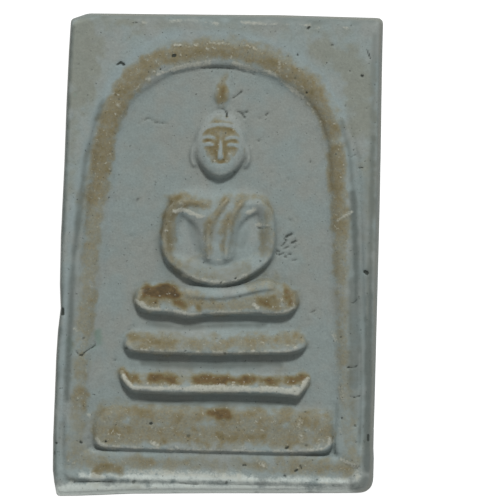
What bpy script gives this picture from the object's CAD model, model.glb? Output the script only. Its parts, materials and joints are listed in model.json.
"""Looks of a pressed plaster votive tablet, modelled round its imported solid.

One closed piece stands for the whole tablet. Its face is a fine grid laid over the solid's relief,
worn and pitted, its sides are rings drawn down round the edge, and its back is a coarser grid.
Stains and cracks are painted as strokes in the millimetres of the pressed picture.
"""

import json
import logging
import math
from dataclasses import dataclass, field
from enum import Enum

import bmesh
import bpy
import numpy as np
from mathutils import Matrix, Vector
from mathutils.bvhtree import BVHTree

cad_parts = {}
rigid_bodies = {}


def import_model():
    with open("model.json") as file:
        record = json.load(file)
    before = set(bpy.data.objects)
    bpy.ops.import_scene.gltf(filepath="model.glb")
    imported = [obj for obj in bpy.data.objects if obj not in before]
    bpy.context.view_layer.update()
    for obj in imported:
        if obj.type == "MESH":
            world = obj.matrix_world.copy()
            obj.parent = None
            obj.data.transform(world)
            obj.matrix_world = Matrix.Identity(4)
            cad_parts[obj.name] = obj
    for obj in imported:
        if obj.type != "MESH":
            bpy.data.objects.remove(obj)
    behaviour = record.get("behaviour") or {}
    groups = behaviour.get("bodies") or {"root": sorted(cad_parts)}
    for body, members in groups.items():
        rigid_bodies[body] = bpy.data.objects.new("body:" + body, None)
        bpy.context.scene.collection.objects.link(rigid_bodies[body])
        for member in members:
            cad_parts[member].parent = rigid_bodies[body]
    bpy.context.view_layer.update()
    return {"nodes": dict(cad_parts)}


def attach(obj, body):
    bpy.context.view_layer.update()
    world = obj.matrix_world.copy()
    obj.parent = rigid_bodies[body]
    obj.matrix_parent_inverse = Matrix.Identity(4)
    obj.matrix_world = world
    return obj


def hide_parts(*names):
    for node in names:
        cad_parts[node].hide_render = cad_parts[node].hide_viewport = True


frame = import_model()

logging.basicConfig(level=logging.INFO, format="%(name)s: %(message)s")
log = logging.getLogger("votive_tablet")

MM = 0.001
NODE = "tablet"
RAY_TOP = 20.0
RAY_SIDE = 40.0
FOOT_LEVEL = 0.004
RIM_SPOT = (-10.6, 16.4)
Point = tuple[float, float]


class Stain(Enum):
    """What a stroke leaves on the plaster. The value names the vertex attribute."""

    OCHRE = "ochre"
    AMBER = "amber"
    UMBER = "umber"
    CREAM = "cream"
    COOL = "cool"
    WARM = "warm"
    GREEN = "green"
    WASH = "wash"
    CHALK = "chalk"
    SHADE = "shade"
    CRACK = "crack"


@dataclass(frozen=True)
class Stroke:
    """One dab or line of a stain, in millimetres of the pressed picture."""

    half: float
    strength: float
    path: tuple[Point, ...]


def strokes(*rows: tuple) -> tuple[Stroke, ...]:
    """Turns rows of half width, strength and points into strokes."""
    return tuple(Stroke(row[0], row[1], tuple(row[2:])) for row in rows)


@dataclass(frozen=True)
class Patina:
    """Where each stain lies on the face of the tablet."""

    ochre: tuple[Stroke, ...] = strokes(
        # Arch rib, from the left leg over the top to the right leg
        (0.60, 0.42, (-10.05, -15.0), (-10.1, -13.4), (-10.1, -12.0)),
        (0.62, 0.84, (-10.1, -10.4), (-10.05, -11.3)),
        (0.62, 0.50, (-10.0, -9.2), (-9.9, -7.4), (-9.8, -5.8)),
        (0.65, 0.66, (-9.78, -5.7), (-9.7, -4.6), (-9.62, -3.6)),
        (0.68, 0.60, (-9.6, -3.2), (-9.55, -1.4), (-9.5, 0.4), (-9.4, 2.2), (-9.25, 4.0)),
        (0.74, 0.86, (-9.25, 4.0), (-9.12, 5.0), (-9.0, 6.2)),
        (0.82, 1.00, (-9.0, 6.2), (-8.9, 7.4), (-8.72, 8.8), (-8.35, 10.1), (-7.85, 11.2)),
        (0.78, 1.00, (-7.85, 11.2), (-7.25, 12.25), (-6.55, 13.15), (-5.75, 13.95), (-4.8, 14.55)),
        (0.66, 1.00, (-4.8, 14.55), (-3.8, 14.98), (-2.6, 15.28), (-1.2, 15.4), (0.2, 15.42)),
        (0.66, 1.00, (0.2, 15.42), (1.6, 15.25), (2.9, 14.9), (3.8, 14.5)),
        (0.34, 0.62, (3.6, 15.2), (4.6, 14.9), (5.4, 14.4)),
        (0.76, 0.96, (4.5, 14.05), (5.4, 13.65), (6.1, 13.1), (6.75, 12.4), (7.3, 11.65)),
        (0.70, 0.90, (7.3, 11.65), (7.7, 11.0), (8.05, 10.2), (8.3, 9.4)),
        (0.72, 0.98, (8.65, 8.1), (8.72, 7.3), (8.75, 6.4), (8.82, 5.4)),
        (0.70, 0.88, (8.82, 5.4), (8.95, 4.3), (9.05, 3.3), (9.1, 2.4)),
        (0.62, 0.70, (9.1, 2.4), (9.2, 1.2), (9.25, 0.0), (9.3, -1.2)),
        (0.58, 0.55, (9.3, -1.2), (9.4, -3.0), (9.45, -4.6), (9.55, -6.3), (9.65, -7.4)),
        (0.50, 0.42, (9.9, -9.0), (10.1, -11.0), (10.3, -13.0), (10.45, -14.6)),
        # Arms, chest and folds
        (0.46, 1.30, (-3.2, 4.15), (-3.6, 3.5), (-3.76, 2.8), (-3.8, 2.0), (-3.75, 1.2), (-3.62, 0.6)),
        (0.32, 0.70, (-3.6, 0.4), (-3.5, -0.3), (-3.1, -0.9)),
        (0.26, 1.00, (-3.0, 4.3), (-2.4, 4.4), (-1.8, 4.25)),
        (0.34, 1.20, (-2.7, 3.95), (-2.1, 3.95), (-1.4, 3.85), (-0.9, 3.75)),
        (0.32, 0.88, (0.6, 4.4), (0.15, 3.6), (-0.3, 2.95), (-0.75, 2.4), (-0.8, 1.7)),
        (0.28, 0.74, (-0.8, 1.7), (-0.75, 1.0), (-0.7, 0.5)),
        (0.38, 0.90, (1.85, 4.4), (1.5, 3.9), (1.05, 3.2), (0.65, 2.5), (0.45, 1.8)),
        (0.34, 0.76, (0.45, 1.8), (0.4, 1.2), (0.38, 0.5)),
        (0.30, 0.76, (2.7, 4.5), (3.3, 4.3), (3.7, 3.8), (3.7, 3.1), (3.6, 2.75)),
        (0.24, 0.90, (3.35, 1.55), (3.4, 1.0), (3.35, 0.4)),
        (0.20, 0.66, (-1.9, -1.3), (-1.2, -1.6), (-0.3, -1.75), (0.7, -1.7), (1.5, -1.5)),
        # Topknot
        (0.44, 1.45, (0.06, 12.6), (0.05, 12.2), (0.02, 11.8)),
        (0.30, 0.90, (0.1, 13.25), (0.05, 12.5), (0.02, 11.5)),
        # Lap
        (0.72, 1.25, (-5.1, -2.95), (-4.2, -2.95), (-3.3, -2.9)),
        (0.40, 1.15, (-5.2, -3.45), (-4.4, -3.5)),
        (0.34, 1.15, (-4.7, -3.35), (-3.1, -3.4)),
        (0.30, 0.85, (-4.0, -3.5), (-3.2, -3.6)),
        (0.24, 0.80, (-0.9, -3.8), (0.4, -3.85), (1.6, -3.75), (2.6, -3.6)),
        (0.50, 1.10, (3.2, -3.25), (3.9, -3.35), (4.5, -3.3)),
        (0.36, 1.00, (5.2, -2.7), (5.6, -3.1)),
        (0.20, 0.80, (3.1, -2.1), (3.55, -1.85), (3.95, -2.05)),
        # Top tier
        (0.56, 1.25, (-6.0, -6.25), (-5.4, -6.35)),
        (0.22, 1.25, (-6.1, -6.92), (-5.0, -6.95), (-3.8, -6.9)),
        (0.34, 1.10, (-4.8, -6.35), (-4.2, -6.45)),
        (0.32, 1.00, (-3.6, -6.45), (-2.9, -6.5), (-2.4, -6.6)),
        (0.40, 0.95, (0.4, -6.45), (1.4, -6.35), (2.6, -6.25), (3.8, -6.15), (4.8, -6.0)),
        (0.36, 0.90, (4.8, -6.0), (5.4, -5.9), (6.1, -5.75)),
        (0.26, 0.70, (3.0, -6.8), (5.0, -6.6), (6.2, -6.3)),
        # Middle tier
        (0.36, 1.10, (-6.9, -8.8), (-6.4, -9.1), (-6.0, -9.35)),
        (0.30, 0.85, (-5.4, -9.2), (-4.9, -9.3)),
        (0.30, 1.00, (-3.4, -9.2), (-2.7, -9.35)),
        (0.34, 1.15, (-1.6, -9.15), (0.4, -9.25), (1.6, -9.2), (3.2, -9.15), (4.8, -9.1)),
        (0.30, 1.05, (4.8, -9.2), (5.6, -9.1), (6.8, -8.8)),
        # Bottom tier
        (0.50, 1.10, (-6.2, -11.8), (-5.2, -11.85), (-4.6, -12.0)),
        (0.42, 0.85, (-8.3, -11.9), (-7.4, -11.7), (-6.9, -11.9)),
        (0.44, 1.00, (-3.6, -11.95), (-2.9, -12.0), (-2.3, -12.0)),
        (0.30, 1.10, (-1.6, -11.8), (-1.0, -11.85)),
        (0.34, 1.15, (1.8, -11.75), (2.4, -11.8), (3.1, -11.75)),
        (0.40, 1.10, (-7.5, -13.2), (-7.0, -13.4), (-6.4, -13.2)),
        (0.34, 0.80, (-6.5, -13.2), (-6.0, -12.8), (-6.3, -12.5)),
        (0.40, 0.95, (-5.2, -13.2), (-4.8, -13.8)),
        (0.20, 1.35, (-3.55, -14.0), (-3.6, -13.85)),
        (0.40, 1.15, (-2.2, -13.5), (-1.8, -13.75)),
        (0.42, 1.10, (-1.3, -13.75), (-0.5, -13.95)),
        (0.46, 1.15, (0.3, -13.4), (0.9, -13.55), (1.6, -13.45)),
        (0.40, 1.05, (2.2, -13.5), (3.0, -13.5), (3.9, -13.4)),
        (0.50, 0.85, (6.9, -12.2), (7.4, -12.7), (7.9, -12.3)),
        (0.34, 0.70, (-8.4, -12.8), (-8.1, -13.5)),
        (0.26, 0.70, (0.4, -14.25), (1.6, -14.2)),
        # Bottom bar
        (0.36, 1.15, (-8.5, -16.2), (-7.6, -16.0), (-6.9, -16.3)),
        (0.40, 0.85, (7.9, -15.7), (9.0, -15.6), (10.2, -15.8)),
        (0.38, 0.80, (-6.0, -15.4), (-4.6, -15.6)),
        (0.34, 0.60, (-3.2, -15.4), (-1.6, -15.5)),
        (0.30, 0.65, (2.4, -15.5), (4.2, -15.6), (5.5, -15.9)),
        (0.40, 0.60, (-10.6, -15.0), (-10.0, -15.6)),
    )
    amber: tuple[Stroke, ...] = strokes(
        (0.34, 1.00, (-5.5, -3.2), (-4.9, -3.45), (-4.5, -3.45)),
        (0.48, 1.12, (-5.2, -2.9), (-4.0, -2.85), (-3.2, -2.8)),
        (0.22, 0.90, (-2.9, -3.7), (-2.35, -3.75)),
        (0.20, 0.92, (-1.9, -3.55), (-1.5, -3.75), (-1.25, -4.0)),
        (0.13, 0.66, (-0.8, -3.85), (-0.35, -3.9)),
        (0.28, 0.92, (3.1, -3.15), (3.6, -3.45), (4.0, -3.65)),
        (0.26, 0.84, (3.8, -3.15), (4.35, -2.95)),
        (0.24, 0.66, (4.2, -3.8), (4.7, -3.75)),
        (0.24, 0.95, (5.2, -2.95), (5.5, -2.9), (5.7, -3.35)),
        (0.18, 0.66, (2.6, -3.3), (3.0, -3.1)),
        (0.26, 0.92, (-6.35, -9.25), (-6.1, -9.5)),
        (0.30, 1.00, (-5.9, -9.35), (-5.5, -9.55)),
        (0.32, 1.00, (-4.75, -9.35), (-4.0, -9.4), (-3.4, -9.4)),
        (0.22, 0.92, (-2.9, -9.55), (-2.5, -9.6)),
        (0.32, 1.00, (-1.5, -9.35), (-0.5, -9.35), (0.5, -9.4), (0.9, -9.4)),
        (0.29, 1.00, (1.2, -9.25), (2.2, -9.38), (3.3, -9.35)),
        (0.31, 1.00, (3.8, -9.2), (4.2, -9.4), (4.6, -9.4)),
        (0.28, 1.00, (5.4, -9.25), (5.9, -9.2), (6.5, -8.95), (6.75, -8.95)),
        (0.18, 0.50, (6.5, -8.4), (6.8, -8.7)),
        (0.32, 1.10, (-4.5, -9.2), (-3.0, -9.3)),
        (0.26, 0.90, (-6.5, -9.1), (-5.8, -9.25)),
        (0.30, 0.70, (-6.0, -6.5), (-4.6, -6.55), (-3.2, -6.6)),
        (0.26, 0.50, (0.5, -6.5), (3.0, -6.3), (5.6, -6.0)),
        (0.32, 1.10, (-1.5, -9.2), (1.6, -9.25), (4.8, -9.15)),
        (0.28, 1.00, (5.4, -9.1), (6.5, -8.8)),
        (0.26, 0.70, (-5.6, -11.75), (-4.9, -11.85)),
        (0.16, 0.70, (-7.6, -13.35), (-7.4, -13.5)),
        (0.28, 0.95, (0.05, 12.5), (0.03, 12.0)),
        (0.30, 1.00, (-0.3, -11.8), (0.3, -11.85), (0.9, -11.8)),
        (0.22, 0.50, (0.2, -12.2), (0.7, -12.5)),
        (0.16, 0.70, (2.55, -11.7), (3.0, -11.7)),
    )
    umber: tuple[Stroke, ...] = strokes(
        (0.42, 1.00, (-5.3, -2.85), (-4.6, -2.62), (-3.9, -2.62), (-3.2, -2.8)),
        (0.34, 0.90, (-5.0, -3.1), (-4.2, -3.1), (-3.4, -3.1)),
        (0.18, 0.66, (-5.8, -2.9), (-5.5, -2.8)),
        (0.20, 0.80, (-3.2, -3.5), (-2.8, -3.6)),
        (0.17, 0.90, (5.15, -2.35), (5.55, -2.6), (5.8, -3.0)),
        (0.13, 0.90, (-4.75, -9.05), (-3.4, -9.12)),
        (0.14, 0.90, (5.5, -9.0), (6.2, -8.9), (6.7, -8.75)),
        (0.12, 0.90, (-6.6, -8.95), (-6.2, -9.0)),
        (0.13, 0.85, (-6.2, -6.2), (-5.9, -6.0)),
        (0.12, 0.75, (-4.5, -6.4), (-4.2, -6.55)),
        (0.10, 0.75, (-3.6, -6.3), (-3.4, -6.55)),
        (0.12, 0.60, (2.5, -11.65), (3.0, -11.7)),
        (0.14, 0.55, (-0.6, 2.5), (-0.75, 2.1)),
    )
    cream: tuple[Stroke, ...] = strokes(
        # Worn flecks on the arch rib
        (0.09, 0.90, (-3.6, 15.72), (-3.1, 15.72)),
        (0.10, 0.80, (-2.6, 15.6), (-2.2, 15.75), (-1.8, 15.8)),
        (0.09, 0.62, (-1.0, 15.95), (-0.2, 15.92), (0.9, 15.86), (1.7, 15.8)),
        (0.09, 0.50, (1.9, 15.74), (2.4, 15.58), (2.9, 15.36)),
        (0.12, 0.70, (-7.8, 11.15), (-7.65, 11.05)),
        (0.08, 0.60, (-7.4, 12.3), (-7.3, 12.4)),
        (0.13, 0.55, (-8.6, 7.3), (-8.3, 7.4)),
        (0.09, 0.50, (-8.9, 5.4), (-8.75, 5.6)),
        (0.12, 0.66, (4.25, 14.7), (4.3, 14.1), (4.35, 13.6)),
        (0.08, 0.85, (8.9, 2.9), (9.4, 3.25), (10.0, 3.6)),
        (0.20, 0.40, (8.6, 8.7), (9.2, 8.6)),
        # Inner edge of the rib
        (0.10, 0.95, (-5.65, 13.1), (-5.2, 13.2)),
        (0.20, 0.85, (-4.8, 13.5), (-4.0, 13.75), (-3.0, 14.1), (-2.0, 14.3), (-1.0, 14.45)),
        (0.11, 0.60, (-6.6, 12.2), (-6.0, 12.75)),
        (0.20, 0.75, (0.8, 14.45), (1.6, 14.2), (2.6, 14.0), (3.6, 13.75), (4.15, 13.5)),
        (0.14, 1.00, (4.15, 13.28), (4.9, 12.85), (5.6, 12.35), (6.15, 12.0)),
        (0.09, 0.90, (6.15, 11.9), (6.7, 11.45)),
        (0.07, 0.80, (6.75, 11.2), (7.2, 10.6), (7.5, 10.0)),
        (0.08, 0.66, (7.3, 9.8), (7.6, 9.1)),
        (0.14, 0.50, (9.0, -12.2), (9.35, -12.5), (9.7, -13.2)),
        (0.22, 0.42, (9.1, -8.3), (9.4, -9.0), (9.6, -10.4)),
        (0.16, 0.55, (8.8, -5.5), (9.0, -6.2)),
        # Tongue over the right end of the bottom bar
        (0.09, 1.00, (9.15, -14.2), (9.5, -14.8), (9.9, -15.1), (10.5, -15.35), (11.0, -15.6)),
        (0.12, 0.60, (9.05, -13.6), (9.2, -14.0), (9.5, -14.3)),
        (0.15, 0.80, (10.7, -16.1), (10.95, -16.3)),
        (0.22, 0.50, (10.8, -15.9), (11.1, -16.8)),
        # Body
        (0.14, 1.00, (-3.35, 3.3), (-2.8, 3.4), (-2.3, 3.25), (-1.6, 3.0), (-1.1, 2.95)),
        (0.12, 0.85, (-2.95, 3.9), (-2.7, 3.85)),
        (0.12, 0.60, (-1.7, 2.5), (-1.3, 2.0), (-1.05, 1.4), (-1.0, 0.6)),
        (0.28, 0.95, (2.2, 3.3), (2.6, 3.5)),
        (0.12, 0.50, (2.0, 3.0), (1.7, 2.4)),
        (0.20, 0.85, (-2.5, -1.5), (-1.6, -1.8), (-0.6, -1.97), (0.5, -2.0), (1.4, -1.82), (2.1, -1.5)),
        (0.08, 0.90, (2.85, 2.42), (3.4, 2.42), (3.85, 2.36)),
        (0.10, 0.60, (-3.9, 1.9), (-3.5, 1.6)),
        (0.16, 0.50, (-1.2, 0.3), (-1.0, -0.1), (0.0, -0.3), (0.9, -0.1)),
        # Lap
        (0.13, 1.00, (-6.0, -3.5), (-5.6, -3.92), (-5.0, -4.14), (-4.0, -4.14), (-3.0, -4.2)),
        (0.13, 1.00, (-3.0, -4.2), (-2.0, -4.45), (-1.0, -4.36), (0.0, -4.26), (1.5, -4.16)),
        (0.13, 0.90, (1.5, -4.16), (3.0, -4.15), (4.4, -4.2), (5.2, -4.1), (5.9, -3.7)),
        (0.15, 0.95, (2.75, -3.5), (3.15, -3.85)),
        (0.18, 0.80, (-5.55, -3.65), (-5.35, -3.95)),
        (0.16, 0.60, (4.9, -3.1), (4.8, -3.6)),
        (0.10, 0.60, (-4.9, -3.7), (-4.2, -3.8)),
        # Top tier
        (0.15, 0.85, (-6.2, -7.2), (-4.0, -7.3), (-2.0, -7.35), (0.0, -7.3), (2.0, -7.2)),
        (0.15, 0.80, (2.0, -7.2), (4.0, -7.1), (5.6, -6.95), (6.3, -6.6)),
        (0.12, 0.85, (-2.5, -6.95), (-2.1, -7.2)),
        (0.12, 0.80, (3.4, -6.3), (3.7, -6.5)),
        (0.12, 0.66, (5.1, -6.5), (5.6, -6.6)),
        (0.12, 0.55, (-5.2, -6.35), (-4.9, -6.55)),
        # Middle tier
        (0.18, 1.00, (-6.9, -9.2), (-6.5, -9.7), (-6.1, -10.0), (-5.0, -9.98), (-3.0, -10.02)),
        (0.28, 1.00, (-3.0, -9.98), (0.0, -9.94), (2.0, -9.9), (4.0, -9.86), (5.8, -9.95)),
        (0.20, 1.00, (5.8, -10.0), (6.3, -10.1), (6.7, -9.6), (6.95, -9.1)),
        (0.24, 0.95, (6.0, -9.75), (6.35, -9.9)),
        (0.07, 0.90, (1.2, -9.5), (1.8, -9.62), (2.6, -9.78)),
        (0.10, 0.80, (-5.1, -9.5), (-5.0, -9.75)),
        (0.08, 0.70, (3.5, -9.2), (3.6, -9.6)),
        (0.08, 0.60, (-1.8, -9.5), (-1.5, -9.8)),
        # Bottom tier
        (0.12, 0.90, (-8.7, -13.9), (-8.4, -14.32), (-7.8, -14.5), (-5.0, -14.5), (-3.0, -14.58)),
        (0.12, 0.85, (-3.0, -14.58), (0.0, -14.55), (3.0, -14.5), (6.0, -14.5)),
        (0.12, 0.80, (6.0, -14.5), (7.5, -14.35), (8.5, -14.1), (8.85, -13.7)),
        (0.17, 0.90, (8.72, -13.6), (8.78, -13.9)),
        (0.18, 0.75, (-4.6, -14.1), (-4.2, -14.3)),
        (0.20, 0.75, (-2.8, -14.2), (-2.6, -14.5)),
        (0.14, 0.66, (2.2, -14.2), (2.8, -14.3)),
        (0.24, 0.50, (6.4, -12.9), (6.7, -13.6)),
        (0.18, 0.42, (6.5, -12.2), (6.4, -12.6)),
        (0.20, 0.50, (8.0, -13.9), (7.6, -14.2)),
        # Bottom bar and lip
        (0.12, 0.90, (-8.9, -16.65), (-8.2, -16.75), (-7.2, -16.6)),
        (0.20, 0.66, (-6.0, -16.3), (-5.0, -16.35), (-2.0, -16.4), (0.5, -16.5), (2.0, -16.45)),
        (0.12, 0.55, (2.0, -16.7), (6.0, -16.8), (9.5, -16.75)),
        (0.16, 0.70, (-10.8, -15.6), (-10.3, -15.8)),
        (0.10, 0.80, (-6.9, -15.3), (-6.4, -15.7)),
        (0.12, 0.55, (3.2, -15.2), (4.2, -15.7)),
        (0.24, 0.40, (-10.0, -16.5), (-9.2, -16.8)),
        (0.26, 0.40, (-9.5, -17.6), (-6.0, -17.6), (-2.0, -17.4), (2.0, -17.4), (6.0, -17.4)),
        # Top edge
        (0.09, 0.95, (-6.5, 17.45), (-5.7, 17.3)),
        (0.12, 0.66, (-4.0, 17.5), (-2.5, 17.6), (-0.5, 17.4)),
        (0.11, 0.95, (1.3, 17.5), (2.6, 17.5), (3.2, 17.4), (4.0, 17.5)),
        (0.08, 0.75, (4.8, 17.5), (6.4, 17.45)),
        (0.07, 0.62, (7.0, 17.3), (8.2, 17.3)),
        (0.08, 0.85, (8.9, 17.35), (9.2, 17.35)),
        # Edges and loose specks
        (0.12, 0.62, (-10.6, -5.7), (-10.4, -5.9)),
        (0.15, 0.80, (-9.35, -12.15), (-9.25, -12.2)),
        (0.10, 0.50, (2.7, -8.4), (2.9, -8.3)),
        (0.08, 0.50, (4.9, 6.7), (5.3, 6.5)),
    )
    cool: tuple[Stroke, ...] = strokes(
        (0.40, 0.70, (-10.5, 5.0), (-10.1, 7.4), (-9.6, 9.4), (-9.1, 11.2), (-8.3, 12.9)),
        (0.42, 0.70, (-8.3, 12.9), (-7.2, 14.4), (-6.0, 15.5), (-4.8, 16.2), (-3.0, 16.65)),
        (0.30, 0.60, (-3.0, 16.65), (0.0, 16.65), (2.8, 16.3), (4.4, 15.8), (5.9, 15.0)),
        (0.36, 0.60, (5.9, 15.0), (7.0, 14.0), (7.9, 13.0), (8.7, 11.8), (9.2, 10.6)),
        (0.20, 0.85, (1.25, 4.0), (0.5, 3.2), (0.12, 2.6), (-0.05, 1.6), (-0.1, 0.3)),
        (0.26, 0.80, (-2.2, -9.3), (-2.0, -9.7)),
        (0.14, 0.60, (-5.15, -9.1), (-5.05, -9.5)),
        (0.34, 0.66, (-11.35, -12.5), (-11.4, -8.0), (-11.3, -4.0), (-11.1, 0.0), (-10.9, 4.0)),
        (0.30, 0.55, (11.2, -13.0), (11.2, -8.0), (11.1, -3.0), (10.9, 1.0)),
        (0.40, 0.40, (-7.4, 9.6), (-7.6, 7.4), (-7.9, 5.0), (-8.1, 2.0), (-8.2, -2.0)),
        (0.40, 0.40, (7.3, 8.4), (7.7, 6.0), (7.9, 3.0), (8.0, -1.0), (8.2, -5.0)),
        (0.34, 0.50, (-8.6, -6.8), (-8.1, -8.6), (-7.9, -10.4)),
        (0.20, 0.50, (-2.3, 2.4), (-1.9, 1.5), (-1.7, 0.6)),
        (0.60, 0.36, (-4.0, -17.2), (0.0, -17.2), (4.0, -17.2)),
    )
    warm: tuple[Stroke, ...] = strokes(
        (1.30, 0.80, (-10.2, 16.6), (-10.4, 14.2), (-10.6, 11.6)),
        (0.55, 0.66, (-10.9, 11.6), (-11.1, 8.0), (-11.2, 5.0)),
        (0.45, 0.90, (-8.8, 17.1), (-7.5, 17.3), (-6.4, 17.2)),
        (0.50, 0.50, (-5.0, 17.2), (0.0, 17.2), (5.0, 17.0), (9.0, 17.0)),
        (1.20, 0.80, (7.6, 15.6), (9.6, 14.6), (10.4, 12.2), (10.6, 10.2)),
        (0.50, 0.80, (11.0, 10.2), (11.2, 7.0), (11.4, 3.0)),
        (0.36, 0.66, (11.5, 3.0), (11.5, -4.0), (11.5, -14.0)),
        (0.60, 0.40, (5.2, 4.4), (6.2, 1.4), (6.4, -1.2)),
        (0.70, 0.36, (3.0, 10.2), (5.4, 9.8)),
        (0.70, 0.36, (-5.4, 7.6), (-6.2, 4.4)),
        (0.60, 0.34, (-3.6, 11.0), (-4.6, 8.6)),
        (0.60, 0.50, (-10.2, -13.0), (-10.2, -15.0)),
        (0.60, 0.50, (-4.0, -15.6), (0.0, -15.7), (3.0, -15.6)),
        (0.70, 0.46, (-6.5, -12.7), (-3.0, -12.9), (1.0, -12.9), (5.0, -12.9)),
    )
    green: tuple[Stroke, ...] = strokes(
        (0.34, 0.80, (-8.75, -6.0), (-8.7, -6.7)),
        (0.24, 0.66, (-9.0, -7.0), (-9.6, -7.3)),
        (0.26, 0.66, (-10.9, -6.5), (-10.8, -7.5)),
        (0.18, 0.60, (-11.0, 11.85), (-10.65, 12.05)),
        (0.16, 0.50, (-8.1, -8.0), (-7.6, -8.05)),
    )
    wash: tuple[Stroke, ...] = strokes(
        # Arch rib
        (0.80, 0.50, (-10.2, -15.4), (-10.2, -11.0), (-10.0, -6.0), (-9.7, -1.0), (-9.4, 4.0)),
        (0.85, 0.70, (-9.4, 4.0), (-8.9, 8.0), (-8.0, 11.0), (-6.4, 13.3), (-4.2, 14.8)),
        (0.90, 0.75, (-4.2, 14.8), (-1.0, 15.4), (1.6, 15.35), (4.4, 14.5), (6.4, 13.0), (7.8, 11.0)),
        (0.80, 0.70, (7.8, 11.0), (8.6, 8.0), (9.0, 4.0)),
        (0.75, 0.50, (9.0, 4.0), (9.3, 0.0), (9.6, -5.0), (9.9, -10.0), (10.2, -14.6)),
        # Body
        (0.50, 0.75, (-3.0, 4.4), (-3.8, 3.8), (-4.0, 2.0), (-3.8, 0.3), (-2.9, -1.0)),
        (0.50, 0.45, (-2.9, -1.0), (-1.4, -1.6), (0.4, -1.7), (2.2, -1.1)),
        (0.45, 0.55, (2.9, 4.4), (3.6, 3.8), (3.65, 2.0), (3.4, 0.4)),
        (0.75, 0.55, (-2.4, 4.1), (-1.4, 3.8)),
        (0.50, 0.65, (0.5, 4.2), (-0.4, 2.8), (-0.7, 1.4), (-0.6, 0.4)),
        (0.50, 0.70, (1.9, 4.3), (0.9, 2.8), (0.6, 1.4), (0.5, 0.4)),
        (0.50, 0.80, (0.05, 12.9), (0.05, 12.0)),
        # Lap and tiers
        (0.80, 1.00, (-5.4, -3.1), (-3.6, -3.1), (-1.5, -3.4)),
        (0.50, 0.90, (-1.5, -3.6), (0.5, -3.75), (2.6, -3.4)),
        (0.72, 1.00, (3.0, -3.2), (4.4, -3.2), (5.5, -3.0)),
        (0.70, 0.70, (2.6, -1.9), (3.6, -1.8), (5.0, -2.2)),
        (0.62, 1.00, (-6.2, -6.6), (-3.0, -6.65), (0.0, -6.55), (3.0, -6.4), (6.2, -6.0)),
        (0.60, 1.00, (-6.6, -9.2), (-3.0, -9.35), (1.0, -9.35), (4.0, -9.3), (6.6, -9.0)),
        (0.80, 1.00, (-8.1, -12.0), (-4.0, -12.0), (0.0, -12.0), (4.0, -12.0), (8.1, -12.0)),
        (0.90, 1.00, (-8.1, -13.3), (-4.0, -13.4), (0.0, -13.4), (4.0, -13.3), (8.1, -13.2)),
        # Bottom bar
        (0.70, 0.70, (-10.4, -15.5), (-8.0, -15.8), (-5.0, -15.6)),
        (0.60, 0.56, (-5.0, -15.5), (0.0, -15.6), (5.0, -15.5)),
        # Hands and right arm
        (0.60, 0.55, (-2.2, -0.9), (0.0, -1.4), (2.2, -0.9)),
        (0.46, 0.75, (3.7, 0.6), (3.75, 2.0), (3.6, 3.4)),
        (0.65, 0.80, (5.0, -15.5), (8.0, -15.5), (10.4, -15.6)),
        (0.40, 0.40, (-10.6, -17.0), (-8.0, -17.4), (-5.0, -17.3)),
    )
    chalk: tuple[Stroke, ...] = strokes(
        # Lower lip with its edge, and the worn foot of the bottom bar
        (0.62, 1.00, (-11.3, -17.95), (-8.0, -17.75), (-4.0, -17.6), (0.0, -17.5), (3.0, -17.45)),
        (0.50, 0.80, (3.0, -17.45), (6.0, -17.4), (10.0, -17.3)),
        (0.26, 1.00, (-9.8, -16.72), (-6.0, -16.68), (-2.0, -16.68), (3.0, -16.68)),
        (0.24, 0.85, (3.0, -16.68), (10.0, -16.62)),
        (0.34, 0.50, (-9.0, -16.35), (-4.0, -16.3), (2.0, -16.35)),
        (0.36, 0.55, (10.7, -15.7), (10.9, -16.5)),
        (0.40, 0.30, (-9.8, -15.4), (-9.0, -14.9)),
    )
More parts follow.
